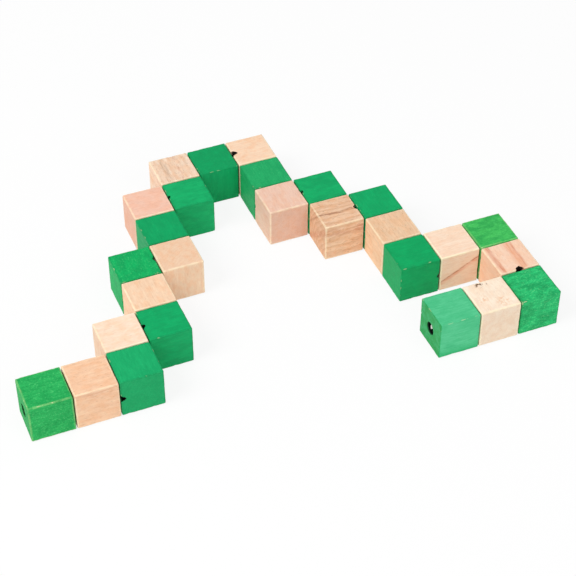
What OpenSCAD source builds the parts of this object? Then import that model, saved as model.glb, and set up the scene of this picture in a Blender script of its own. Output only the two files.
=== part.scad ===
// Folding wooden cube puzzle: 27 bored cubelets on one elastic cord, laid out flat on a table.
// Every second cubelet is stained green. Turning the cubelets about the cord between them
// folds the chain into a 3 x 3 x 3 cube.

/* [Cubelets] */
// Length of a cubelet's edge, mm
side = 19.6; // [18:0.1:30]
// Gap that the cord leaves between two neighbouring cubelets, mm
gap = 0.4; // [0.4:0.1:1.5]
// Radius of the eased edges, mm
edge_r = 0.6; // [0.3:0.1:2]
// How far a cubelet sits turned about the vertical, degrees
sit_error = 0.45; // [0:0.05:0.5]

/* [Cord] */
// Diameter of the elastic cord, mm
cord_d = 2.2; // [1.5:0.1:3]
// Diameter of the bore that the cord runs through, mm
bore_d = 3.6; // [3.2:0.1:4.5]
// Diameter of the wide hole that hides a knot in each end cubelet, mm
knot_hole_d = 6; // [5:0.1:7]
// Depth of that hole from the end face, mm
knot_hole_depth = 8.8; // [7:0.1:9]
// How far below the mouth of that hole the cord's cut end stops, mm
tail_inset = 0.7; // [0.4:0.1:2]
// Gap between two stretches of cord where two cubelets meet, mm
cord_gap = 0.1; // [0.05:0.05:0.3]

/* [Threading grooves] */
// Width of the widest groove cut from a bore's mouth to a cubelet's edge, mm
groove_w = 4.4; // [3:0.1:5.5]
// Depth of the deepest groove below its face, mm
groove_depth = 2.4; // [1.6:0.1:3.5]

/* [Chain] */
// Cubelets in each straight run, with each corner cubelet counted in both of its runs
runs = [3, 3, 3, 3, 2, 2, 2, 3, 3, 2, 2, 3, 2, 3, 2, 2, 3];
// Turn taken at the end of each run in the flat layout: 1 to the left, -1 to the right
turns = [1, 1, -1, 1, -1, 1, -1, 1, 1, -1, 1, -1, 1, -1, 1, -1];

/* [Hidden] */
// Number of facets on a full circle
$fn = 48;
// Distance from one cubelet's centre to the next along the cord
pitch = side + gap;
// Number of cubelets on the cord
count = 27;
// Room left between a knot and the floor of its hole
knot_fit = 0.05;
// Half of a knot's width, which the hole clears by the named room
knot_room = 0.35;
knot_r = knot_hole_d / 2 - knot_room;
// Where grooves show: cubelet, link it opens on (-1 previous, 1 next), direction of its mouth,
// and the shares of the groove's width and depth that it is cut to
grooves = [
    [1, 1, [0, 0, -1], 1, 0.65],
    [4, -1, [0, 0, 1], 0.75, 1],
    [7, -1, [0, -1, 0], 0.7, 0.5],
    [10, -1, [0, 0, 1], 0.6, 0.5],
    [11, 1, [0, 0, 1], 0.5, 0.4],
    [12, 1, [-1, 0, 0], 0.6, 0.45],
    [14, 1, [0, 0, 1], 0.75, 1],
    [17, 1, [0, 0, 1], 0.5, 0.45],
    [20, 1, [0, -1, 0], 0.5, 0.35],
    [21, -1, [0, 0, 1], 0.65, 0.6],
    [23, 1, [0, 0, 1], 0.75, 0.55],
    [25, 1, [0, -1, 0], 0.75, 0.9],
    [27, -1, [0, 1, 0], 0.5, 0.4]
];

// Links from the start of the cord to the end of run k
function links_to(k) = k < 0 ? 0 : links_to(k - 1) + runs[k] - 1;
// Run that a link belongs to
function run_of(link, k = 0) = link <= links_to(k) ? k : run_of(link, k + 1);
// Sum of the first n values of a list
function sum_of(list, n) = n <= 0 ? 0 : list[n - 1] + sum_of(list, n - 1);
// Direction of a link, as a unit vector in the layout
function step(link) = let (h = 90 * sum_of(turns, run_of(link))) [round(cos(h)), round(sin(h)), 0];
// Place of cubelet i, in pitches from the first one
function place(i) = i <= 1 ? [0, 0, 0] : place(i - 1) + step(i - 1);
places = [for (i = [1 : count]) place(i)];
xs = [for (p = places) p.x];
ys = [for (p = places) p.y];
// Centre of the layout, in pitches
middle = [(min(xs) + max(xs)) / 2, (min(ys) + max(ys)) / 2, 0];
// Centre of cubelet i, in mm
function centre(i) = pitch * (places[i - 1] - middle) + [0, 0, side / 2];
// Direction from cubelet i towards its neighbour: -1 the previous one, 1 the next one
function towards(i, way) = way > 0 ? step(i) : -step(i - 1);
// Directions in which a cubelet is bored
function bored(i) = [if (i > 1) towards(i, -1), if (i < count) towards(i, 1)];
// Cubelets on the outside of the layout sit square, so that the whole keeps its centre
function on_rim(i) = let (p = places[i - 1])
    p.x == min(xs) || p.x == max(xs) || p.y == min(ys) || p.y == max(ys);
// Turn of cubelet i about the vertical
function sit(i) = on_rim(i) ? 0 : sit_error * sin(97 * i);
// Two-digit label of cubelet i
function label(i) = i < 10 ? str("0", i) : str(i);
function cubelet_name(i) = str(i % 2 == 1 ? "green_cubelet_" : "natural_cubelet_", label(i));
function cord_name(i) = str("cord_stretch_", label(i));

// Turns a shape that points along +Z to point along a unit vector
module aim(way) {
    if (way.z == 0) rotate([0, 90, atan2(way.y, way.x)]) children();
    else rotate([way.z < 0 ? 180 : 0, 0, 0]) children();
}

// Square outline of a cubelet with rounded corners
module rounded_outline() {
    square([side - 2 * edge_r, side], center = true);
    square([side, side - 2 * edge_r], center = true);
    for (x = [-1, 1], y = [-1, 1]) translate((side / 2 - edge_r) * [x, y]) circle(edge_r);
}

// Cube with all twelve edges eased
module eased_cube() {
    intersection() {
        linear_extrude(side, center = true) rounded_outline();
        rotate([90, 0, 0]) linear_extrude(side, center = true) rounded_outline();
        rotate([0, 90, 0]) linear_extrude(side, center = true) rounded_outline();
    }
}

// Groove from the bore's mouth on one face to the edge that it opens on
module groove(way, mouth, width, depth) {
    floor_z = side / 2 - depth + width / 2;
    translate(floor_z * way) aim(mouth) cylinder(h = side, d = width);
    translate((floor_z + side / 4) * way + side / 2 * mouth)
        cube([for (k = [0 : 2]) abs(way[k]) * side / 2 + abs(mouth[k]) * side
            + (abs(way[k]) + abs(mouth[k]) == 0 ? width : 0)], center = true);
}

// True where cubelet i holds a knot
function is_end(i) = i == 1 || i == count;
// True where cubelet i is bored straight through
function is_straight(i) = is_end(i) || step(i - 1) == step(i);

// Bores of cubelet i, with the knot's hole in an end cubelet
module bores(i) {
    ways = bored(i);
    if (is_straight(i)) translate(-side * ways[0]) aim(ways[0]) cylinder(h = 2 * side, d = bore_d);
    else for (way = ways) translate(-bore_d / 2 * way) aim(way) cylinder(h = side, d = bore_d);
    if (is_end(i))
        translate((knot_hole_depth - side / 2) * ways[0]) aim(-ways[0]) cylinder(h = side, d = knot_hole_d);
}

// One cubelet, eased, bored and grooved
module cubelet(i) {
    color(i % 2 == 1 ? [0.13, 0.65, 0.42] : [0.93, 0.8, 0.66])
        translate(centre(i))
            difference() {
                rotate([0, 0, sit(i)]) eased_cube();
                bores(i);
                for (g = grooves) if (g[0] == i)
                    groove(towards(i, g[1]), g[2], groove_w * g[3], groove_depth * g[4]);
            }
}

// Stretch of cord inside cubelet i, straight or bent at a corner
module cord_stretch(i) {
    ways = bored(i);
    reach = pitch / 2 - cord_gap / 2;
    color([0.95, 0.95, 0.92])
        translate(centre(i)) {
            for (way = ways) aim(way) cylinder(h = reach, d = cord_d);
            if (len(ways) == 2) sphere(d = cord_d);
            if (len(ways) == 1)
                translate((knot_hole_depth - side / 2) * ways[0])
                    aim(ways[0]) cylinder(h = side / 2 - knot_hole_depth + cord_d, d = cord_d);
        }
}

// Half of a knot's outline: two lumps of cord, one above the other, on a neck
module knot_outline() {
    intersection() {
        union() {
            translate([0.46 * knot_r, 0.54 * knot_r + knot_fit]) circle(0.54 * knot_r);
            translate([0.35 * knot_r, 1.39 * knot_r + knot_fit]) circle(0.48 * knot_r);
            square([cord_d / 2, 1.7 * knot_r]);
        }
        square([knot_hole_d, knot_hole_depth]);
    }
}

// Knot in the wide hole of end cubelet i, with its cut tail pointing out of the hole
module knot(i) {
    way = bored(i)[0];
    color([0.95, 0.95, 0.92])
        translate(centre(i) + (knot_hole_depth - side / 2) * way) aim(-way) {
            rotate_extrude() knot_outline();
            translate([0.15 * knot_r, 0.09 * knot_r, 1.3 * knot_r])
                rotate([7, 9, 0])
                    cylinder(h = knot_hole_depth - 1.3 * knot_r - tail_inset, d = 0.9 * cord_d);
        }
}

module start_knot() {
    knot(1);
}

module end_knot() {
    knot(count);
}

for (i = [1 : count]) {
    cubelet(i);
    cord_stretch(i);
}
start_knot();
end_knot();
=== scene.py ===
"""Folding cube puzzle: stained and bare wooden cubelets on one white elastic cord."""
import logging
import math
from dataclasses import dataclass
from enum import Enum
from functools import cached_property

import bpy
import numpy as np
from mathutils import Matrix, Vector


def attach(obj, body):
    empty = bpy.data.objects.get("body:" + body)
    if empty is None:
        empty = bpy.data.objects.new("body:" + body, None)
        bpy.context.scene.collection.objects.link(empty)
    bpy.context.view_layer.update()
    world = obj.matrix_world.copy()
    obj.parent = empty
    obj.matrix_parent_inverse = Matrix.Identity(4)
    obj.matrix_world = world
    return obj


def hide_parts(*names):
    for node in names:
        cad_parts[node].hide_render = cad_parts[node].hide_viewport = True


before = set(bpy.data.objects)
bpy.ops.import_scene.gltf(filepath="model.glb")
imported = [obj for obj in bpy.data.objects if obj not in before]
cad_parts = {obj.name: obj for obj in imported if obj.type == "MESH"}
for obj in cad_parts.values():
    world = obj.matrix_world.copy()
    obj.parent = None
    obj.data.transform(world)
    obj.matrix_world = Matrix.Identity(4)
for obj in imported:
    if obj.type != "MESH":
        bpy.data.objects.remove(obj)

Array = np.ndarray
Shade = tuple[int, int, int]
Triple = tuple[float, float, float]
Colour = tuple[float, float, float, float]
Piece = bpy.types.Object
Socket = bpy.types.NodeSocket
Node = bpy.types.Node
Tree = bpy.types.NodeTree

LOG = logging.getLogger("cube puzzle")
MM = 0.001
HALF = 9.8
ROUGH_SAWN = 0.4
WHITE = (1.0, 1.0, 1.0, 1.0)

# Cream rim of bare edges: partly wear and partly painted highlight.
CREAM_RIM = (253, 240, 205)
PALE_RIM = (170, 214, 140)
DEEP_RIM = (2, 104, 58)
RUST = (182, 96, 66)
SALMON = (236, 168, 132)
PEACH = (240, 186, 150)
EMERALD = (0, 168, 96)
UMBER = (104, 66, 34)
MAROON = (122, 58, 40)
BUFF = (243, 205, 172)
BRICK = (214, 132, 98)
FERN = (20, 148, 66)
FRESH_WOOD = (226, 222, 178)
CORD_WHITE = (246, 244, 238)
# Darker grey painted into the braid's gaps as painted shade.
CORD_GAP_SHADE = (186, 182, 172)


def paint(shade: Shade) -> Colour:
    """Turn a display colour, 0 to 255, into the linear colour that a shader takes."""
    red, green, blue = ((c / 12.92 if c <= 0.04045 else ((c + 0.055) / 1.055) ** 2.4)
                        for c in (channel / 255.0 for channel in shade))
    return (red, green, blue, 1.0)


class Grain(Enum):
    """Axis that the fibres run along, as the Euler angles that carry the pattern's X axis onto it."""

    ACROSS = (0.0, 0.0, 0.0)
    AWAY = (0.0, 0.0, math.pi / 2)
    UPRIGHT = (0.0, -math.pi / 2, 0.0)


class Coat(Enum):
    """What a cubelet is finished with."""

    STAIN = "green"
    BARE = "natural"


@dataclass(frozen=True)
class Streak:
    """A darker vein that runs with the grain.

    Attributes:
        offset: Distance from the block's middle, mm.
        tilt: Turn of its plane about the fibres, radians.
        width, wander: Half-width over which it fades, and how far it strays sideways, mm.
        colour, strength: Colour at its middle, and how much of it shows.
        broken: How far it comes and goes, 0 to 1.
        slope: How steeply it crosses the fibres.
    """

    offset: float
    tilt: float
    width: float
    wander: float
    colour: Shade
    strength: float
    broken: float = 1.0
    slope: float = 0.0


@dataclass(frozen=True)
class Specks:
    """A cluster of small dark knots.

    Attributes:
        place, reach: Its middle from the block's middle, and its radius, mm.
        colour: Colour of the knots.
    """

    place: Triple
    reach: float
    colour: Shade


@dataclass(frozen=True)
class Wood:
    """Look of a bare cubelet.

    Attributes:
        light, dark: Colours between and in the growth rings.
        grain: Axis of the fibres.
        ring: Spacing of the rings, mm.
        pith: Place of the tree's middle across the fibres, mm.
        figure, fibre, pores, mottle: How strongly the rings, fibres, pores and broad patches show.
        blush: How much of a warmer tint drifts through it.
        fuzz: How rough and fibrous its faces are.
        rim, rim_amount: Colour laid along its edges, and how much of it shows; the cream rim of bare wood is
            partly wear and partly painted highlight.
        chips: How much fresh wood shows where its edges are chipped.
        streaks, specks: Its veins and its clusters of small knots.
        end_stain: Colour of end grain that drank more stain than the sides.
        coat: What it is finished with.
        pore_tint, end_tint: What darkens its pores and its end grain.
        fleck, inside: Colours of its torn fibres, and of the painted shade in its holes and grooves.
        roughness, specular: Its roughness and the strength of its highlights.
    """

    light: Shade
    dark: Shade
    grain: Grain = Grain.ACROSS
    ring: float = 1.6
    pith: tuple[float, float] = (34.0, 19.0)
    figure: float = 0.12
    fibre: float = 0.3
    pores: float = 0.2
    mottle: float = 0.3
    blush: float = 0.85
    fuzz: float = 0.1
    rim: Shade = CREAM_RIM
    rim_amount: float = 0.42
    chips: float = 0.0
    streaks: tuple[Streak, ...] = ()
    specks: tuple[Specks, ...] = ()
    end_stain: Shade | None = None
    coat: Coat = Coat.BARE
    pore_tint: Colour = (0.45, 0.34, 0.28, 1.0)
    end_tint: Colour = (0.86, 0.8, 0.76, 1.0)
    fleck: Shade = CREAM_RIM
    # inside is the colour of the painted shade in holes and grooves.
    inside: Shade = (30, 18, 12)
    roughness: float = 0.62
    specular: float = 0.22


@dataclass(frozen=True)
class Stained(Wood):
    """Look of a stained cubelet, with a fainter figure and chipped edges."""

    fibre: float = 0.2
    blush: float = 0.0
    rim: Shade = DEEP_RIM
    rim_amount: float = 0.22
    chips: float = 0.3
    coat: Coat = Coat.STAIN
    pore_tint: Colour = (0.3, 0.5, 0.42, 1.0)
    end_tint: Colour = (0.8, 0.88, 0.84, 1.0)
    fleck: Shade = (140, 218, 150)
    # inside is the colour of the painted shade in holes and grooves.
    inside: Shade = (6, 12, 8)
    roughness: float = 0.5
    specular: float = 0.18


LOOKS: dict[int, Wood] = {
    # Cubelet 1's pale mint colours are partly its own tone and partly a painted sheen.
    1: Stained((92, 204, 148), (50, 180, 118), fibre=0.35, mottle=0.4, rim_amount=0.1, end_stain=FERN,
        # Cubelet 1's wide emerald streak lies below its middle and makes its lower part deeper green.
        streaks=(Streak(-12.0, math.pi / 2, 8.0, 0.0, EMERALD, 1.0, 0.15),)),
    2: Wood((255, 240, 220), (244, 214, 186), Grain.AWAY, mottle=0.5, blush=0.3, rim_amount=0.6,
        specks=(Specks((7.7, 2.6, 9.4), 2.3, UMBER), Specks((7.9, -0.4, 9.4), 1.6, UMBER),
            Specks((-5.5, -3.0, 9.0), 4.5, BUFF), Specks((-1.0, 5.0, 9.0), 3.5, BUFF))),
    3: Stained((44, 200, 118), (0, 128, 70), fuzz=1.0, mottle=0.5, chips=0.5),
    4: Wood((252, 220, 196), (240, 190, 158), Grain.AWAY, figure=0.15, ring=2.1, pores=0.3, blush=0.6,
        streaks=(Streak(12.0, 0.0, 5.0, 0.5, PEACH, 0.9, 0.2), Streak(7.9, 0.05, 1.6, 0.3, BRICK, 0.85, 0.5),
            Streak(-5.0, -0.3, 2.8, 0.6, SALMON, 0.9, 0.4), Streak(-6.6, -0.3, 0.9, 0.6, BRICK, 0.7, 0.7))),
    5: Stained((72, 200, 96), (22, 150, 72), mottle=0.55, fuzz=0.6, rim=PALE_RIM, rim_amount=0.3, chips=0.8),
    6: Wood((254, 230, 208), (244, 204, 172), figure=0.15, ring=1.1, fibre=0.5, blush=0.4, rim_amount=0.8,
        streaks=(Streak(-4.9, 1.1, 1.9, 0.25, SALMON, 0.75, 0.5, -0.48),
            Streak(-4.2, 1.1, 0.7, 0.3, RUST, 0.7, 1.0, -0.48))),
    7: Stained((0, 172, 98), (0, 142, 80), fibre=0.12, mottle=0.35),
    8: Wood((243, 208, 174), (218, 176, 138), Grain.AWAY, figure=0.25, pores=0.4),
    9: Stained((4, 174, 102), (0, 144, 84), Grain.AWAY),
    10: Wood((244, 208, 176), (212, 160, 122), figure=0.45, ring=2.4, pores=0.7,
        streaks=(Streak(-1.5, 0.9, 2.4, 1.8, RUST, 0.5), Streak(6.5, 0.8, 0.9, 1.2, MAROON, 0.6))),
    11: Stained((8, 178, 104), (0, 146, 86), mottle=0.5),
    12: Wood((242, 206, 186), (228, 184, 162), Grain.AWAY, ring=1.3, fibre=0.4, blush=0.8),
    13: Stained((34, 176, 104), (4, 146, 84), Grain.AWAY, fuzz=0.3),
    14: Wood((253, 224, 196), (242, 198, 164), figure=0.2, ring=1.9, fibre=0.4),
    15: Stained((0, 172, 102), (0, 140, 82), Grain.UPRIGHT),
    16: Wood((250, 226, 204), (226, 182, 146), Grain.AWAY, figure=0.3, ring=2.6, pores=0.5,
        streaks=(Streak(6.6, 0.25, 2.6, 1.2, UMBER, 0.28), Streak(1.0, 0.3, 0.8, 1.4, RUST, 0.3))),
    17: Stained((14, 180, 106), (0, 150, 88), mottle=0.5),
    18: Wood((247, 204, 184), (234, 182, 158), figure=0.15, ring=1.4, fibre=0.4, blush=0.8),
    19: Stained((0, 168, 98), (0, 138, 80), Grain.AWAY),
    20: Wood((253, 224, 196), (240, 196, 160), Grain.UPRIGHT, figure=0.2, fibre=0.35, blush=0.8),
    21: Stained((10, 182, 98), (0, 146, 80), Grain.AWAY, fuzz=0.5, mottle=0.5, chips=0.5),
    22: Wood((249, 218, 188), (232, 188, 152), Grain.AWAY, figure=0.2, ring=1.7),
    23: Stained((4, 174, 102), (0, 142, 82), mottle=0.4),
    24: Wood((253, 230, 208), (240, 204, 174), ring=1.5, fibre=0.35),
    25: Stained((24, 178, 108), (0, 148, 88), Grain.AWAY, fibre=0.35),
    26: Wood((247, 208, 174), (230, 178, 142), figure=0.25, ring=2.2, pores=0.35, blush=0.7,
        streaks=(Streak(-4.5, 0.5, 1.6, 1.5, RUST, 0.25),)),
    27: Stained((44, 182, 94), (8, 148, 72), fuzz=0.8, fibre=0.3, mottle=0.5, rim=PALE_RIM, rim_amount=0.3,
        chips=0.8),
}


@dataclass
class Value:
    """A number in a node tree. Arithmetic on it adds Math nodes."""

    bench: "Bench"
    socket: Socket

    def __add__(self, other: "Amount") -> "Value":
        """Add a number."""
        return self.bench.math("ADD", self, other)

    def __sub__(self, other: "Amount") -> "Value":
        """Take a number away."""
        return self.bench.math("SUBTRACT", self, other)

    def __rsub__(self, other: float) -> "Value":
        """Take this away from a number."""
        return self.bench.math("SUBTRACT", other, self)

    def __mul__(self, other: "Amount") -> "Value":
        """Multiply by a number."""
        return self.bench.math("MULTIPLY", self, other)


Amount = float | Value | Socket
Paint = Colour | Socket


@dataclass
class Bench:
    """Lays out one node tree: adds nodes, sets their sockets and links them."""

    tree: Tree

    def feed(self, node: Node, sockets: dict) -> Node:
        """Set or link a node's inputs.

        Args:
            node: The node.
            sockets: Value or source of each input, by name or number.

        Returns:
            The same node.
        """
        for key, value in sockets.items():
            source = value.socket if isinstance(value, Value) else value
            if isinstance(source, Socket):
                self.tree.links.new(source, node.inputs[key])
            else:
                node.inputs[key].default_value = source
        return node

    def add(self, kind: str, sockets: dict | None = None, **settings) -> Node:
        """Add a shader node.

        Args:
            kind: Blender's name of it, after ShaderNode.
            sockets: Value or source of each input.
            **settings: Its properties.

        Returns:
            The node.
        """
        node = self.tree.nodes.new(f"ShaderNode{kind}")
        for key, value in settings.items():
            setattr(node, key, value)
        return self.feed(node, sockets or {})

    def effect(self, group: Tree, sockets: dict) -> dict[str, Value]:
        """Place a shared group, and give the number that each of its outputs holds."""
        node = self.add("Group", sockets, node_tree=group)
        return {output.name: Value(self, output) for output in node.outputs}

    def math(self, operation: str, *values: Amount) -> Value:
        """Work out one number from others by a Math node's operation."""
        return Value(self, self.add("Math", dict(enumerate(values)), operation=operation).outputs[0])

    def measure(self, operation: str, first: Socket, second: Socket) -> Value:
        """Work out one number from two vectors by a Vector Math node's operation."""
        return Value(self, self.add("VectorMath", {0: first, 1: second}, operation=operation).outputs[1])

    def split(self, vector: Socket) -> list[Value]:
        """Take a vector apart into its three numbers."""
        return [Value(self, part) for part in self.add("SeparateXYZ", {0: vector}).outputs]

    def step(self, value: Value, low: Amount, high: Amount) -> Value:
        """Rise smoothly from 0 to 1 as a value goes from low to high."""
        node = self.add("MapRange", {0: value, 1: low, 2: high}, interpolation_type="SMOOTHSTEP")
        return Value(self, node.outputs[0])

    def noise(self, vector: Socket, seed: Value, along: float, across: float, detail: float = 2.0,
              warp: float = 0.0) -> Value:
        """Sample soft noise drawn out along the fibres.

        Args:
            vector: The place, with X along the fibres.
            seed: Picks the pattern.
            along, across: Features in each mm along the fibres and across them.
            detail: How many finer layers are added.
            warp: How far it is distorted.

        Returns:
            A value of about 0.3 to 0.7.
        """
        drawn = self.add("VectorMath", {0: vector, 1: (along, across, across)}, operation="MULTIPLY")
        node = self.add("TexNoise", {"Vector": drawn.outputs[0], "W": seed, "Scale": 1.0, "Detail": detail,
                                     "Distortion": warp}, noise_dimensions="4D")
        return Value(self, node.outputs[0])

    def mix(self, amount: Amount, first: Paint, second: Paint, blend: str = "MIX") -> Socket:
        """Lay an amount of the second colour over the first, by a Mix node's blend."""
        node = self.add("Mix", {0: amount, 6: first, 7: second}, data_type="RGBA", blend_type=blend)
        return node.outputs[2]


def new_material(name: str) -> tuple[bpy.types.Material, Bench, Node]:
    """Make a material.

    Args:
        name: Its name.

    Returns:
        The material, its bench and its shader.
    """
    material = bpy.data.materials.new(name)
    material.use_nodes = True
    return material, Bench(material.node_tree), material.node_tree.nodes["Principled BSDF"]


class Effects:
    """Shader node groups that the woods and the cord share, each made once."""

    @staticmethod
    def _start(name: str, vectors: list[str], numbers: list[str]) -> list:
        """Begin a group.

        Args:
            name: Its name.
            vectors, numbers: Names of its vector and its number inputs.

        Returns:
            Its bench, then its inputs.
        """
        tree = bpy.data.node_groups.new(name, "ShaderNodeTree")
        for label in vectors + numbers:
            kind = "Vector" if label in vectors else "Float"
            tree.interface.new_socket(name=label, in_out="INPUT", socket_type=f"NodeSocket{kind}")
        bench, given = Bench(tree), tree.nodes.new("NodeGroupInput").outputs
        return [bench, *(given[key] for key in vectors), *(Value(bench, given[key]) for key in numbers)]

    @staticmethod
    def _finish(bench: Bench, results: dict[str, Value]) -> Tree:
        """End a group.

        Args:
            bench: Its bench.
            results: Its outputs.

        Returns:
            The group.
        """
        for label in results:
            bench.tree.interface.new_socket(name=label, in_out="OUTPUT", socket_type="NodeSocketFloat")
        bench.feed(bench.tree.nodes.new("NodeGroupOutput"), results)
        return bench.tree

    @cached_property
    def figure(self) -> Tree:
        """Growth rings about a distant pith, fibres, pores, broad patches and a drifting tint.

        The rings are the fraction of (distance from the pith + slow noise) / spacing.
        """
        bench, vector, ring, pith_y, pith_z, seed = self._start(
            "Wood figure", ["Vector"], ["Ring", "Pith Y", "Pith Z", "Seed"])
        _, y, z = bench.split(vector)
        y, z = y + pith_y, z + pith_z
        radius = bench.math("SQRT", y * y + z * z) + bench.noise(vector, seed, 0.035, 0.11, 3) * 7.0
        phase = bench.math("FRACT", bench.math("DIVIDE", radius, ring))
        return self._finish(bench, {
            "Rings": bench.step(phase, 0.25, 0.9) * (1.0 - bench.step(phase, 0.93, 1.0)),
            "Fibre": bench.step(bench.noise(vector, seed, 0.2, 2.3, 5), 0.32, 0.68),
            "Pores": bench.step(bench.noise(vector, seed + 3.0, 0.6, 3.6, 3), 0.56, 0.7),
            "Mottle": bench.step(bench.noise(vector, seed, 0.2, 0.34, 6), 0.36, 0.64),
            "Blush": bench.step(bench.noise(vector, seed + 21.0, 0.26, 0.42, 7), 0.42, 0.62),
        })

    @cached_property
    def edges(self) -> Tree:
        """A block's edges, its end grain and the chips off its edges.

        An edge is where the middle one of |x|, |y| and |z| nears the block's half-width, and end grain is
        where |x| does.
        """
        bench, vector, half, width, ragged, seed = self._start(
            "Block edges", ["Vector"], ["Half", "Width", "Ragged", "Seed"])
        x, y, z = (bench.math("ABSOLUTE", part) for part in bench.split(vector))
        highest = bench.math("MAXIMUM", bench.math("MAXIMUM", x, y), z)
        lowest = bench.math("MINIMUM", bench.math("MINIMUM", x, y), z)
        middle = x + y + z - highest - lowest
        inner = half - width + (bench.noise(vector, seed, 0.5, 0.5, 4) - 0.5) * ragged
        patch = bench.noise(vector, seed + 11.0, 0.3, 0.3, 8)
        # Mask for the colour laid along the edges; the cream rim on bare wood is partly wear and partly
        # painted highlight.
        worn = bench.step(middle, inner, inner + 0.55) * (bench.step(patch, 0.4, 0.56) + 0.45)
        return self._finish(bench, {
            "Edge": bench.math("MINIMUM", worn, 1.0),
            "Chip": bench.step(middle, inner + 0.5, inner + 0.75) * bench.step(patch, 0.585, 0.61),
            "End": bench.step(x, half - 0.5, half - 0.15),
        })

    @cached_property
    def fuzz(self) -> Tree:
        """Torn fibres that a saw leaves, as pale flecks and as relief."""
        bench, vector, seed = self._start("Torn fibres", ["Vector"], ["Seed"])
        nap = bench.noise(vector, seed, 1.1, 1.9, 6, 0.8)
        fine = bench.noise(vector, seed + 7.0, 1.6, 2.8, 3)
        return self._finish(bench, {
            "Flecks": bench.step(nap, 0.52, 0.66) * bench.step(fine, 0.42, 0.6),
            "Relief": nap + fine * 0.5,
        })

    @cached_property
    def streak(self) -> Tree:
        """A vein with the grain: the distance from a wandering plane, faded over its width."""
        bench, vector, across, offset, width, wander, broken, seed = self._start(
            "Vein", ["Vector", "Across"], ["Offset", "Width", "Wander", "Broken", "Seed"])
        bend = bench.noise(vector, seed, 0.09, 0.02) - 0.5
        gap = bench.measure("DOT_PRODUCT", vector, across) - offset + bend * wander * 4.0
        near = 1.0 - bench.step(bench.math("ABSOLUTE", gap), 0.0, width)
        whole = bench.step(bench.noise(vector, seed + 5.0, 0.2, 1.6, 3), 0.36, 0.6)
        return self._finish(bench, {"Vein": near * (1.0 - broken * (1.0 - whole))})

    @cached_property
    def specks(self) -> Tree:
        """Small knots near one point: noise above a level, faded with the distance from the point."""
        bench, vector, place, reach, seed = self._start("Specks", ["Vector", "Place"], ["Reach", "Seed"])
        near = 1.0 - bench.step(bench.measure("DISTANCE", vector, place), reach * 0.4, reach)
        dots = bench.step(bench.noise(vector, seed, 0.9, 0.9), 0.5, 0.58)
        return self._finish(bench, {"Specks": near * dots})

    @cached_property
    def braid(self) -> Tree:
        """Two sets of strands that wind a cord in opposite ways and pass over each other.

        U runs once round the cord and V counts its diameters along it. The second output marks the gaps
        between the strands, where shade is painted.
        """
        bench, place, strands = self._start("Braid", ["UV"], ["Strands"])
        turn, run, _ = bench.split(place)
        turn, run = turn * strands, run * 2.4
        left, right = (bench.math("SINE", wound * math.pi) for wound in (turn + run, turn - run))
        top = bench.math("MAXIMUM", bench.math("ABSOLUTE", left), bench.math("ABSOLUTE", right))
        return self._finish(bench, {"Strand": top, "Gap": 1.0 - bench.step(top, 0.45, 0.85)})


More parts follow.
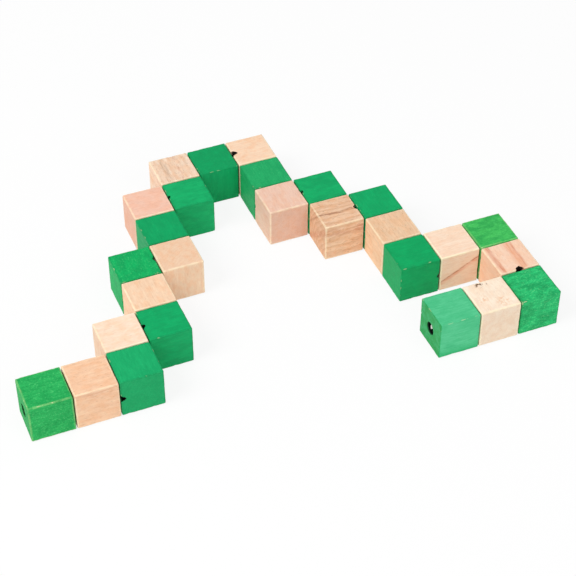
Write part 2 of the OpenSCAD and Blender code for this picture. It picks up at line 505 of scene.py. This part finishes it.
@dataclass
class Timber:
    """Makes the material of each cubelet from its finish.

    Attributes:
        effects: The shared groups.
        edge_width, edge_ragged: Width of the edge band that takes the rim colour and the chips, and how far
            noise moves its inner line, mm.
        end_shade: How much of the end tint shows.
        warmth: The tint that drifts through the wood.
        relief: Depth of the relief, metres.
    """

    effects: Effects
    edge_width: float = 0.95
    edge_ragged: float = 0.7
    end_shade: float = 0.7
    warmth: Colour = (1.0, 0.91, 0.83, 1.0)
    relief: float = 0.00012

    def material(self, cubelet: "Cubelet") -> bpy.types.Material:
        """Make one cubelet's wood.

        Args:
            cubelet: The cubelet.

        Returns:
            The material.
        """
        finish = cubelet.finish
        material, bench, shader = new_material(f"{finish.coat.value}_wood_{cubelet.label}")
        place = bench.add("TexCoord").outputs["Object"]
        wood = bench.add("Mapping", {0: place, 1: tuple(cubelet.centre), 2: finish.grain.value, 3: (MM,) * 3},
                         vector_type="TEXTURE").outputs[0]
        seed = 1.7 * cubelet.number
        shared = {"Vector": wood, "Seed": seed}
        figure = bench.effect(self.effects.figure, {
            **shared, "Ring": finish.ring, "Pith Y": finish.pith[0], "Pith Z": finish.pith[1]})
        edges = bench.effect(self.effects.edges, {
            **shared, "Half": cubelet.half, "Width": self.edge_width, "Ragged": self.edge_ragged})
        fuzz = bench.effect(self.effects.fuzz, shared)
        colour = paint(finish.light)
        for label, amount in (("Mottle", finish.mottle), ("Rings", finish.figure), ("Fibre", finish.fibre)):
            colour = bench.mix(figure[label] * amount, colour, paint(finish.dark))
        colour = bench.mix(figure["Pores"] * finish.pores, colour, finish.pore_tint, "MULTIPLY")
        colour = bench.mix(edges["End"] * self.end_shade, colour, finish.end_tint, "MULTIPLY")
        for index, streak in enumerate(finish.streaks):
            vein = bench.effect(self.effects.streak, {
                "Vector": wood, "Seed": seed + index, "Offset": streak.offset, "Width": streak.width,
                "Across": (streak.slope, math.cos(streak.tilt), math.sin(streak.tilt)),
                "Wander": streak.wander, "Broken": streak.broken})
            colour = bench.mix(vein["Vein"] * streak.strength, colour, paint(streak.colour))
        if finish.end_stain:
            colour = bench.mix(edges["End"] * (0.9 - figure["Blush"] * 0.3), colour, paint(finish.end_stain))
        for knots in finish.specks:
            dots = bench.effect(self.effects.specks, {**shared, "Place": knots.place, "Reach": knots.reach})
            colour = bench.mix(dots["Specks"], colour, paint(knots.colour))
        colour = bench.mix(figure["Blush"] * finish.blush, colour, self.warmth, "MULTIPLY")
        nap = bench.add("CombineColor", dict.fromkeys(range(3), fuzz["Relief"] * 1.2 + 0.1))
        colour = bench.mix(0.9 * finish.fuzz, colour, nap.outputs[0], "MULTIPLY")
        colour = bench.mix(fuzz["Flecks"] * (0.38 * finish.fuzz), colour, paint(finish.fleck))
        # Colour laid along the edges; the cream rim of bare wood is partly wear and partly painted highlight.
        colour = bench.mix(edges["Edge"] * finish.rim_amount, colour, paint(finish.rim))
        colour = bench.mix(edges["Chip"] * finish.chips, colour, paint(FRESH_WOOD))
        # Painted shade: holes and grooves are darkened towards the inside colour, more so deeper in.
        painted_recess_shade = bench.add("Attribute", attribute_name="painted_recess_shade").outputs["Fac"]
        relief = figure["Fibre"] * 0.25 + fuzz["Relief"] * (0.25 + 1.6 * finish.fuzz)
        relief -= figure["Pores"] * (0.6 * finish.pores)
        bump = bench.add("Bump", {"Height": relief, "Distance": self.relief, "Strength": 0.5})
        bench.feed(shader, {
            "Base Color": bench.mix(painted_recess_shade, colour, paint(finish.inside)),
            "Roughness": figure["Fibre"] * 0.12 + (finish.roughness + 0.1 * finish.fuzz),
            "Specular IOR Level": finish.specular,
            "Normal": bump.outputs[0],
        })
        return material


def lattice(segments: int, crowd: float = 0.78) -> Array:
    """Step from -1 to 1, crowded at both ends: t - crowd sin(2 pi t) / (2 pi) of the way at each t."""
    t = np.linspace(0.0, 1.0, segments + 1)
    return 2.0 * (t - crowd * np.sin(2.0 * np.pi * t) / (2.0 * np.pi)) - 1.0


def soft_noise(points: Array, seed: int, size: float, waves: int = 14) -> Array:
    """Smooth noise for mesh shapes: a sum of sine waves in seeded directions.

    Args:
        points: Places, n by 3.
        seed: Picks the waves.
        size: Rough size of a feature.
        waves: How many waves are added.

    Returns:
        A value for each place, mostly within -1 and 1.
    """
    random = np.random.default_rng(seed)
    ways = random.normal(size=(waves, 3)) * (np.pi / size)
    starts = random.uniform(0.0, 2.0 * np.pi, waves)
    return np.sin(points @ ways.T + starts).sum(axis=1) / math.sqrt(waves)


def join_rows(rows: int, length: int, closed: bool = True) -> Array:
    """Join rows of corners with four-cornered faces.

    Args:
        rows, length: How many rows there are, and corners in a row.
        closed: Whether each row is a ring.

    Returns:
        The corners (i, j), (i, j + 1), (i + 1, j + 1), (i + 1, j) of each face.
    """
    i, j = np.meshgrid(np.arange(rows - 1), np.arange(length if closed else length - 1), indexing="ij")
    row, after = i * length, (j + 1) % length
    corners = (row + j, row + after, row + length + after, row + length + j)
    return np.stack([corner.ravel() for corner in corners], axis=1)


def build_mesh(name: str, verts: Array, faces: list, smooth_angle: float) -> Piece:
    """Put arrays into a new object at the origin.

    Args:
        name: Its name.
        verts: Its corners in metres.
        faces: Corner numbers of each face.
        smooth_angle: Edges sharper than this, in radians, stay sharp.

    Returns:
        The object.
    """
    mesh = bpy.data.meshes.new(name)
    mesh.from_pydata(verts.tolist(), [], faces)
    mesh.validate()
    mesh.update()
    mesh.shade_smooth()
    mesh.set_sharp_from_angle(angle=smooth_angle)
    piece = bpy.data.objects.new(name, mesh)
    bpy.context.scene.collection.objects.link(piece)
    return piece


def settle(piece: Piece, label: str, node: str) -> Piece:
    """Give a finished piece its place in the model.

    Args:
        piece: The piece.
        label: Number of the cubelet that it rides on.
        node: The solid that it stands for.

    Returns:
        The same piece.
    """
    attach(piece, f"cubelet_{label}")
    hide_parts(node)
    return piece


@dataclass(frozen=True)
class Groove:
    """Threading groove from a bore's mouth to the edge of that face.

    Attributes:
        cubelet, link: Its cubelet's number, and its bore: -1 to the previous cubelet, 1 to the next.
        mouth: Direction that it opens in.
        wide, deep: Shares of the widest groove's width and of the deepest one's depth.
    """

    cubelet: int
    link: int
    mouth: tuple[int, int, int]
    wide: float
    deep: float


@dataclass
class Cubelet:
    """One bored cubelet, built as a worn, eased block.

    Attributes:
        number, centre: Place along the cord, from 1, and its middle in metres.
        links: Directions of its bores: -1 to the previous cubelet, 1 to the next.
        grooves: Its threading grooves.
        sit: Its turn about the vertical, radians.
        half, bore: Half of its edge and radius of its bores, mm.
        knot_hole, knot_depth: Radius and depth of a knot's hole, mm.
        groove_width, groove_depth: Width of the widest groove and depth of the deepest one, mm.
        steps: Steps along an edge of a grooved, a rough sawn and a plain cubelet.
    """

    number: int
    centre: Array
    links: dict[int, Array]
    grooves: list[Groove]
    sit: float
    half: float = HALF
    bore: float = 1.8
    knot_hole: float = 3.0
    knot_depth: float = 8.8
    groove_width: float = 4.4
    groove_depth: float = 2.4
    steps: tuple[int, int, int] = (76, 60, 34)

    @property
    def finish(self) -> Wood:
        """Its look."""
        return LOOKS[self.number]

    @property
    def label(self) -> str:
        """Its number in two digits."""
        return f"{self.number:02d}"

    @property
    def ways(self) -> list[Array]:
        """Directions of its bores, from the first link to the last."""
        return list(self.links.values())

    def _tube(self, way: Array) -> list[tuple[float, float]]:
        """Radius and height of each ring down the hole in a face, from its mouth to the cubelet's middle.

        Args:
            way: The face's direction.

        Returns:
            The rings, or none for a face with no hole.
        """
        lips = (self.half - 0.25, self.half - 0.8)
        if any(np.allclose(way, bored) for bored in self.ways):
            return [(self.bore, height) for height in (*lips, 6.5, 3.2, 0.0)]
        if len(self.ways) == 1 and np.allclose(way, -self.ways[0]):
            floor = self.half - self.knot_depth
            wide = [(self.knot_hole, height) for height in (*lips, 5.0, floor)]
            return wide + [(self.bore, floor), (self.bore, 0.0)]
        return []

    def _face(self, way: Array, spots: Array) -> tuple[Array, Array, Array]:
        """Lay out one face as a grid, or as rings round its hole.

        Args:
            way: The face's direction.
            spots: Places along an edge, -1 to 1.

        Returns:
            Its corners in mm, its faces, and which corners lie in a hole.
        """
        axis = int(np.argmax(np.abs(way)))
        first, second = [k for k in range(3) if k != axis]
        tube = self._tube(way)
        count = len(spots)
        if tube:
            run, one = spots[:-1], np.ones(count - 1)
            sides = ((one, run), (-run, one), (-one, -run), (run, -one))
            border = np.concatenate([np.stack(side, axis=1) for side in sides]) * self.half
            angles = np.arctan2(border[:, 1], border[:, 0])
            circle = np.stack([np.cos(angles), np.sin(angles)], axis=1)
            ragged = soft_noise(np.c_[circle, np.zeros(len(circle))], self.number, 0.9)
            mouth = (tube[0][0] + 0.16 + 0.1 * ragged)[:, None]
            shares = (lattice(max(10, count // 2), 0.6)[::-1] + 1.0) / 2.0
            rings = [border * share + circle * mouth * (1.0 - share) for share in shares]
            rings += [circle * radius for radius, _ in tube]
            flat = np.concatenate(rings)
            size = len(border)
            heights = np.repeat([self.half] * len(shares) + [height for _, height in tube], size)
            inside = np.repeat([False] * len(shares) + [True] * len(tube), size)
            # Where two bores meet, the last ring is the ellipse that both share: each point is as high in
            # this bore as it is in the other.
            for other in self.ways:
                if abs(other[axis]) < 0.5:
                    heights[-size:] = flat[-size:] @ other[[first, second]]
            quads = join_rows(len(rings), size)
        else:
            u, v = np.meshgrid(spots, spots, indexing="ij")
            flat = np.stack([u.ravel(), v.ravel()], axis=1) * self.half
            heights = np.full(len(flat), self.half)
            inside = np.zeros(len(flat), dtype=bool)
            quads = join_rows(count, count, closed=False)[:, [0, 3, 2, 1]]
        points = np.empty((len(flat), 3))
        points[:, [first, second, axis]] = np.c_[flat, heights * way[axis]]
        turned = (way[axis] > 0) != (axis == 1)
        return points, quads if turned else quads[:, ::-1], inside

    def _ease(self, points: Array, inside: Array) -> Array:
        """Round and wear the block's edges.

        Each point outside a hole keeps its clamp to the inner block, and stands off from it by a radius
        that grows where seeded noise says that the edge is worn. Dents on faces and nicks on edges
        follow a Gaussian.

        Args:
            points: Corners in mm.
            inside: Which of them lie in a hole.

        Returns:
            The moved corners in mm.
        """
        broad, fine = soft_noise(points, self.number, 9.0), soft_noise(points, self.number + 50, 2.4)
        radius = np.clip(0.55 + 0.07 * broad + 0.05 * fine, 0.3, 1.2)[:, None]
        core = np.clip(points, -(self.half - radius), self.half - radius)
        gap = points - core
        length = np.maximum(np.linalg.norm(gap, axis=1, keepdims=True), 1e-9)
        eased = core + gap / length * radius
        random = np.random.default_rng(900 + self.number)
        for index in range(16):
            spot = random.uniform(-1.0, 1.0, 3) * self.half
            axis = random.integers(3)
            ends = self.half * random.choice([-1.0, 1.0], 3)
            spot = np.where((np.arange(3) == axis) == bool(index % 2), spot, ends)
            depth, spread = random.uniform(0.03, 0.13), random.uniform(0.25, 1.1)
            dent = depth * np.exp(-((points - spot) ** 2).sum(axis=1) / spread)
            eased -= dent[:, None] * gap / length
        worn = 0.02 + 0.012 * soft_noise(points, self.number + 80, 2.2)
        eased -= np.clip(worn, 0.0, None)[:, None] * gap / length
        fuzz = self.finish.fuzz
        if fuzz > ROUGH_SAWN:
            broad, fine = (soft_noise(points, self.number + k, s, 24) for k, s in ((90, 1.5), (95, 0.8)))
            nap = np.clip(0.5 + 0.35 * broad + 0.35 * fine, 0.0, 1.4)
            eased -= 0.08 * fuzz * nap[:, None] * gap / length
        turn = np.array([[math.cos(self.sit), -math.sin(self.sit), 0.0],
                         [math.sin(self.sit), math.cos(self.sit), 0.0], [0.0, 0.0, 1.0]])
        return np.where(inside[:, None], points, eased @ turn.T)

    def _cut_groove(self, points: Array, groove: Groove) -> Array:
        """Lower a face to a torn trough between the bore and one edge.

        Args:
            points: Corners in mm.
            groove: Where the trough runs.

        Returns:
            The corners, each no higher than the trough's floor: its depth falls from the middle with
            1 - (|across| / reach)^2.4, and noise shifts, widens and tears it.
        """
        way = self.links[groove.link]
        along, across, height = points @ groove.mouth, points @ np.cross(way, groove.mouth), points @ way
        torn = soft_noise(points, self.number + 300, 3.2)
        ragged = soft_noise(points, self.number + 400, 0.9)
        shift = 0.25 * soft_noise(points, self.number + 500, 5.0)
        reach = 0.5 * (self.groove_width * groove.wide) * (1.04 + 0.14 * torn + 0.07 * ragged)
        share = np.clip(np.abs(across + shift) / reach, 0.0, 1.0)
        tear = np.clip(1.0 + 0.13 * torn + 0.08 * ragged, 0.6, 1.25)
        floor = self.half - self.groove_depth * groove.deep * (1.0 - share ** 2.4) * tear
        lowered = np.where((along > 0.0) & (share < 1.0) & (height > floor), floor, height)
        return points + (lowered - height)[:, None] * way

    def build(self, timber: Timber) -> Piece:
        """Make the cubelet and dress it.

        Args:
            timber: Makes its wood.

        Returns:
            The finished piece.
        """
        grooved, rough, plain = self.steps
        steps = rough if self.finish.fuzz > ROUGH_SAWN else plain
        spots = lattice(grooved, 0.62) if self.grooves else lattice(steps)
        parts = [self._face(sign * way, spots) for way in np.eye(3) for sign in (1.0, -1.0)]
        starts = np.cumsum([0] + [len(part[0]) for part in parts])
        points, inside = (np.concatenate([part[k] for part in parts]) for k in (0, 2))
        quads = np.concatenate([part[1] + start for part, start in zip(parts, starts)])
        _, keep, merged = np.unique(np.round(points, 4), axis=0, return_index=True, return_inverse=True)
        points, inside, quads = points[keep], inside[keep], merged.reshape(-1)[quads]
        # Painted shade: corners deep in a bore or knot hole, and corners cut down into a groove, are marked
        # for the darker inside colour.
        depth = self.half - np.abs(points).max(axis=1)
        painted_recess_shade = np.where(inside, np.clip(0.7 + depth / 2.0, 0.0, 1.0), 0.0)
        points = self._ease(points, inside)
        for groove in self.grooves:
            before = points
            points = self._cut_groove(points, groove)
            painted_recess_shade = np.maximum(painted_recess_shade, np.clip(np.linalg.norm(points - before, axis=1) / 0.4, 0.0, 1.0))
        points[:, 2] = np.clip(points[:, 2], -self.half, self.half)
        faces = [list(dict.fromkeys(quad)) for quad in quads.tolist()]
        faces = [face for face in faces if len(face) > 2]
        piece = build_mesh(f"cubelet_{self.label}", points * MM + self.centre, faces, 0.9)
        layer = piece.data.attributes.new("painted_recess_shade", "FLOAT", "POINT")
        layer.data.foreach_set("value", painted_recess_shade.astype(np.float32))
        piece.data.materials.append(timber.material(self))
        coat = self.finish.coat.value
        return settle(piece, self.label, f"{coat}_cubelet_{self.label}")


@dataclass
class Cord:
    """The elastic cord, in the stretches that ride on the cubelets, and its two knots.

    Attributes:
        effects: The shared groups.
        radius: Its radius, mm.
        reach: Distance from a cubelet's middle to the end of its stretch, mm.
        bend: Radius of its bend in a corner cubelet, mm.
        strands, twist: Strands in each way round, and how fast they wind, radians for each diameter.
        around: Corners in a ring of its mesh.
        inset: How far below the hole's mouth the cut tail ends, mm.
        pulled, frayed: Its radius in a knot and at the cut end, mm.
    """

    effects: Effects
    radius: float = 1.1
    reach: float = 9.95
    bend: float = 2.4
    strands: int = 8
    twist: float = 7.5
    around: int = 20
    inset: float = 0.75
    pulled: float = 0.8
    frayed: float = 1.02

    def __post_init__(self) -> None:
        """Make the braided white elastic."""
        self.material, bench, shader = new_material("elastic_braid")
        place = bench.add("UVMap", uv_map="UVMap").outputs[0]
        braid = bench.effect(self.effects.braid, {"UV": place, "Strands": self.strands})
        bump = bench.add("Bump", {"Height": braid["Strand"], "Distance": 0.0002, "Strength": 0.8})
        bench.feed(shader, {
            # The gaps between the strands are painted a darker grey as painted shade.
            "Base Color": bench.mix(braid["Gap"], paint(CORD_WHITE), paint(CORD_GAP_SHADE)),
            "Roughness": 0.85,
            "Sheen Weight": 0.3,
            "Normal": bump.outputs[0],
        })

    def _sweep(self, name: str, path: Array, radii: Array) -> Piece:
        """Carry a circle along a path.

        Each ring stands square to the path, on axes that are handed on from ring to ring by taking
        away the part along the path. The braid lifts the circle by a few hundredths.

        Args:
            name: The piece's name.
            path, radii: Middle and radius of each ring in mm.

        Returns:
            The closed tube, with a UV map of turns and diameters.
        """
        around, rows = self.around, len(path)
        ahead = np.gradient(path, axis=0)
        ahead /= np.linalg.norm(ahead, axis=1, keepdims=True)
        side = np.cross(ahead[0], [0.31, 0.17, 0.93])
        sides = np.empty_like(path)
        for row, way in enumerate(ahead):
            side = side - way * (side @ way)
            side /= np.linalg.norm(side)
            sides[row] = side
        ups = np.cross(ahead, sides)
        gaps = np.linalg.norm(np.diff(path, axis=0), axis=1)
        travel = np.concatenate([[0.0], np.cumsum(gaps)]) / (2.0 * self.radius)
        angles = np.linspace(0.0, 2.0 * np.pi, around, endpoint=False)
        turn, run = self.strands / 2.0 * angles, self.twist * travel[:, None]
        weave = np.maximum(np.abs(np.sin(turn + run)), np.abs(np.sin(turn - run)))
        size = radii[:, None] * (0.94 + 0.06 * weave)
        circle = np.cos(angles)[:, None] * sides[:, None] + np.sin(angles)[:, None] * ups[:, None]
        rings = path[:, None] + size[..., None] * circle
        verts = np.concatenate([rings.reshape(-1, 3), path[:1], path[-1:]])
        quads = join_rows(rows, around).tolist()
        first, last, end = rows * around, rows * around + 1, (rows - 1) * around
        caps = [[first, (k + 1) % around, k] for k in range(around)]
        caps += [[last, end + k, end + (k + 1) % around] for k in range(around)]
        piece = build_mesh(name, verts * MM, quads + caps, 1.0)
        corners = np.empty(len(piece.data.loops), dtype=np.int32)
        piece.data.loops.foreach_get("vertex_index", corners)
        u = np.concatenate([np.tile(np.arange(around) / around, rows), [0.5, 0.5]])[corners]
        v = np.concatenate([np.repeat(travel, around), travel[[0, -1]]])[corners]
        seam = u[:4 * len(quads)].reshape(-1, 4)
        seam[:, 1:3] = np.where(seam[:, 1:3] < seam[:, [0]], 1.0, seam[:, 1:3])
        layer = piece.data.uv_layers.new(name="UVMap")
        layer.data.foreach_set("uv", np.stack([u, v], axis=1).astype(np.float32).ravel())
        piece.data.materials.append(self.material)
        return piece

    def stretch(self, cubelet: Cubelet) -> Piece:
        """Make the stretch of cord inside a cubelet.

        Args:
            cubelet: The cubelet.

        Returns:
            The finished piece.
        """
        one, two = cubelet.ways[0], cubelet.ways[-1]
        if len(cubelet.ways) == 1:
            path = np.linspace(cubelet.knot_depth - cubelet.half, self.reach, 30)[:, None] * one
        elif np.allclose(one, -two):
            path = np.linspace(self.reach, -self.reach, 44)[:, None] * one
        else:
            corner = np.linspace(0.0, np.pi / 2, 11)[:, None]
            arc = self.bend * ((1.0 - np.sin(corner)) * one + (1.0 - np.cos(corner)) * two)
            lead = np.linspace(self.reach, self.bend, 16)[:, None]
            path = np.concatenate([lead[:-1] * one, arc, lead[::-1][1:] * two])
        path = path + cubelet.centre / MM
        piece = self._sweep(f"cord_{cubelet.label}", path, np.full(len(path), self.radius))
        return settle(piece, cubelet.label, f"cord_stretch_{cubelet.label}")

    def knot(self, cubelet: Cubelet, node: str) -> Piece:
        """Make an overhand knot in an end cubelet's wide hole.

        The cord follows a three-lobed knot, (sin t + 1.6 sin 2t, cos t - 1.6 cos 2t, -sin 3t), that is
        opened at one place: one end runs down to the bore and the other stands out as the cut tail.

        Args:
            cubelet: The end cubelet.
            node: The solid that it dresses.

        Returns:
            The finished piece.
        """
        out = -cubelet.ways[0]
        side = np.cross(out, [0.0, 0.0, 1.0])
        up = np.cross(side, out)
        t = np.linspace(0.45, 2.0 * np.pi - 0.45, 90)
        lobes = np.stack([np.sin(t) + 1.6 * np.sin(2.0 * t), np.cos(t) - 1.6 * np.cos(2.0 * t),
                          -np.sin(3.0 * t)], axis=1) * [0.68, 0.68, 1.0]
        lobes[:, 2] += 2.3
        down = np.linspace(np.zeros(3), lobes[0], 12)
        rise = np.linspace(0.0, 1.0, 22)[:, None]
        tail = lobes[-1] * (1.0 - rise) + rise * np.array([0.3, 0.5, cubelet.knot_depth - self.inset])
        route = np.concatenate([down[:-1], lobes, tail[1:]])
        for _ in range(6):
            route[1:-1] = 0.25 * route[:-2] + 0.5 * route[1:-1] + 0.25 * route[2:]
        base = cubelet.half - cubelet.knot_depth
        path = route[:, :1] * side + route[:, 1:2] * up + (route[:, 2:] + base) * out
        radii = np.full(len(path), self.pulled)
        radii[-14:] = np.linspace(self.pulled, self.frayed, 14)
        piece = self._sweep(f"knot_{cubelet.label}", path + cubelet.centre / MM, radii)
        return settle(piece, cubelet.label, node)


@dataclass
class Chain:
    """The whole puzzle in its flat layout.

    Attributes:
        pitch: Distance from one cubelet's middle to the next, mm.
        sit_error: How far a cubelet sits turned about the vertical, degrees.
        runs: Cubelets in each straight run, with each corner counted in both of its runs.
        turns: Turn at the end of each run, 1 to the left and -1 to the right.
        grooves: All threading grooves.
    """

    pitch: float = 20.0
    sit_error: float = 0.45
    runs: tuple[int, ...] = (3, 3, 3, 3, 2, 2, 2, 3, 3, 2, 2, 3, 2, 3, 2, 2, 3)
    turns: tuple[int, ...] = (1, 1, -1, 1, -1, 1, -1, 1, 1, -1, 1, -1, 1, -1, 1, -1)
    grooves: tuple[Groove, ...] = (
        Groove(1, 1, (0, 0, -1), 1.0, 0.65), Groove(4, -1, (0, 0, 1), 0.75, 1.0),
        Groove(7, -1, (0, -1, 0), 0.7, 0.5), Groove(10, -1, (0, 0, 1), 0.6, 0.5),
        Groove(11, 1, (0, 0, 1), 0.5, 0.4), Groove(12, 1, (-1, 0, 0), 0.6, 0.45),
        Groove(14, 1, (0, 0, 1), 0.75, 1.0), Groove(17, 1, (0, 0, 1), 0.5, 0.45),
        Groove(20, 1, (0, -1, 0), 0.5, 0.35), Groove(21, -1, (0, 0, 1), 0.65, 0.6),
        Groove(23, 1, (0, 0, 1), 0.75, 0.55), Groove(25, 1, (0, -1, 0), 0.75, 0.9),
        Groove(27, -1, (0, 1, 0), 0.5, 0.4))

    def cubelets(self) -> list[Cubelet]:
        """Place every cubelet, one step from the last, along the runs and turns.

        Returns:
            The cubelets in order along the cord.
        """
        headings = np.repeat(np.cumsum((0, *self.turns)), [run - 1 for run in self.runs]) * (math.pi / 2)
        steps = np.round(np.stack([np.cos(headings), np.sin(headings), 0.0 * headings], axis=1))
        places = np.concatenate([np.zeros((1, 3)), np.cumsum(steps, axis=0)])
        low, high = places.min(axis=0), places.max(axis=0)
        centres = (places - (low + high) / 2.0) * self.pitch * MM
        centres[:, 2] = HALF * MM
        made = []
        for number, place in enumerate(places, start=1):
            links = {}
            if number > 1:
                links[-1] = -steps[number - 2]
            if number < len(places):
                links[1] = steps[number - 1]
            on_rim = np.any(((place == low) | (place == high))[:2])
            sit = 0.0 if on_rim else math.radians(self.sit_error * math.sin(math.radians(97 * number)))
            grooves = [groove for groove in self.grooves if groove.cubelet == number]
            made.append(Cubelet(number, centres[number - 1], links, grooves, sit))
        return made


@dataclass
class Studio:
    """Pale floor, soft lamps and the camera.

    Attributes:
        azimuth, elevation: Turn of the camera about the vertical and its height, degrees.
        lens, sensor: Focal length and width of the sensor, mm.
        fill: Share of the frame that the puzzle spans.
        floor_reach, floor_drop: Half-width of the floor, and how far below the puzzle it lies, metres.
        paper: How much plain white it shows.
        surround: Strength of the even light around.
        lamps: Name, place and width in metres, and watts of each lamp.
    """

    azimuth: float = -22.4
    elevation: float = 42.0
    lens: float = 102.0
    sensor: float = 36.0
    fill: float = 0.95
    floor_reach: float = 6.0
    floor_drop: float = 0.0004
    paper: float = 0.88
    surround: float = 0.45
    lamps: tuple[tuple[str, Triple, float, float], ...] = (
        ("key", (-1.3, -0.3, 1.45), 1.0, 26.5), ("fill", (0.3, -1.5, 1.1), 1.2, 9.6))

    def floor(self) -> None:
        """Lay a wide white floor that keeps a faint shadow."""
        square = np.array([[-1, -1, 0], [1, -1, 0], [1, 1, 0], [-1, 1, 0]])
        floor = build_mesh("floor", self.floor_reach * square - [0, 0, self.floor_drop], [[0, 1, 2, 3]], 0.7)
        material, bench, shader = new_material("paper_white")
        bench.feed(shader, {"Base Color": (0.9, 0.9, 0.9, 1.0), "Roughness": 0.9, "Specular IOR Level": 0.0})
        glow = bench.add("Emission", {"Color": WHITE, "Strength": 1.0})
        rays = bench.add("LightPath").outputs
        seen = bench.math("MAXIMUM", rays["Is Camera Ray"], rays["Is Glossy Ray"])
        seen = bench.math("MAXIMUM", seen, rays["Is Transmission Ray"])
        blend = bench.add("MixShader", {0: seen * self.paper, 1: shader.outputs[0], 2: glow.outputs[0]})
        bench.feed(bench.tree.nodes["Material Output"], {0: blend.outputs[0]})
        floor.data.materials.append(material)

    def world(self) -> None:
        """Set plain colours and an even surround that the camera sees as white."""
        bpy.context.scene.view_settings.view_transform = "Standard"
        world = bpy.data.worlds.new("surround")
        bpy.context.scene.world = world
        world.use_nodes = True
        bench = Bench(world.node_tree)
        back = bench.feed(bench.tree.nodes["Background"], {0: WHITE, 1: self.surround})
        white = bench.add("Background", {0: WHITE, 1: 1.0})
        rays = bench.add("LightPath").outputs
        seen = bench.math("MAXIMUM", rays["Is Camera Ray"], rays["Is Transmission Ray"])
        blend = bench.add("MixShader", {0: seen, 1: back.outputs[0], 2: white.outputs[0]})
        bench.feed(bench.tree.nodes["World Output"], {0: blend.outputs[0]})

    def light(self) -> None:
        """Hang the square soft lamps, each pointing at the puzzle."""
        for name, place, size, power in self.lamps:
            light = bpy.data.lights.new(name, "AREA")
            light.size = size
            light.energy = power
            lamp = bpy.data.objects.new(name, light)
            aim = Vector(place).to_track_quat("Z", "Y").to_matrix().to_4x4()
            lamp.matrix_world = Matrix.Translation(Vector(place)) @ aim
            bpy.context.scene.collection.objects.link(lamp)

    def camera(self, points: Array) -> None:
        """Place the camera so that the puzzle fills the frame.

        The picture's span on each axis is worked out by projecting the points, and the aim and the
        distance are corrected by it a few times.

        Args:
            points: Corners that have to be in the picture, in metres.
        """
        turn, lift = math.radians(self.azimuth), math.radians(self.elevation)
        ahead = np.array([-math.sin(turn) * math.cos(lift), math.cos(turn) * math.cos(lift), -math.sin(lift)])
        right = np.array([math.cos(turn), math.sin(turn), 0.0])
        up = np.cross(right, ahead)
        half = self.sensor / 2.0 / self.lens
        aim, distance = points.mean(axis=0), 1.0
        for _ in range(12):
            rel = points - (aim - ahead * distance)
            depth = rel @ ahead
            x, y = rel @ right / depth / half, rel @ up / depth / half
            aim = aim + (right * (x.max() + x.min()) + up * (y.max() + y.min())) / 2.0 * half * distance
            distance *= max(np.ptp(x), np.ptp(y)) / 2.0 / self.fill
        data = bpy.data.cameras.new("camera")
        data.lens = self.lens
        data.sensor_width = self.sensor
        data.clip_end = 50.0
        camera = bpy.data.objects.new("camera", data)
        axes = Matrix(np.stack([right, up, -ahead], axis=1).tolist())
        camera.matrix_world = Matrix.Translation(Vector(aim - ahead * distance)) @ axes.to_4x4()
        bpy.context.scene.collection.objects.link(camera)
        bpy.context.scene.camera = camera


def main() -> None:
    """Build every piece of the puzzle and its stage."""
    logging.basicConfig(level=logging.INFO, format="%(name)s: %(message)s")
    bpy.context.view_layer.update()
    chain = Chain().cubelets()
    signs = 2.0 * np.array(list(np.ndindex(2, 2, 2))) - 1.0
    studio = Studio()
    studio.floor()
    studio.world()
    studio.light()
    studio.camera(np.concatenate([cubelet.centre + cubelet.half * MM * signs for cubelet in chain]))
    effects = Effects()
    timber = Timber(effects)
    cord = Cord(effects)
    for cubelet in chain:
        LOG.info("built %s", cubelet.build(timber).name)
        LOG.info("built %s", cord.stretch(cubelet).name)
    for cubelet, node in ((chain[0], "start_knot"), (chain[-1], "end_knot")):
        LOG.info("built %s", cord.knot(cubelet, node).name)


if __name__ == "__main__":
    main()
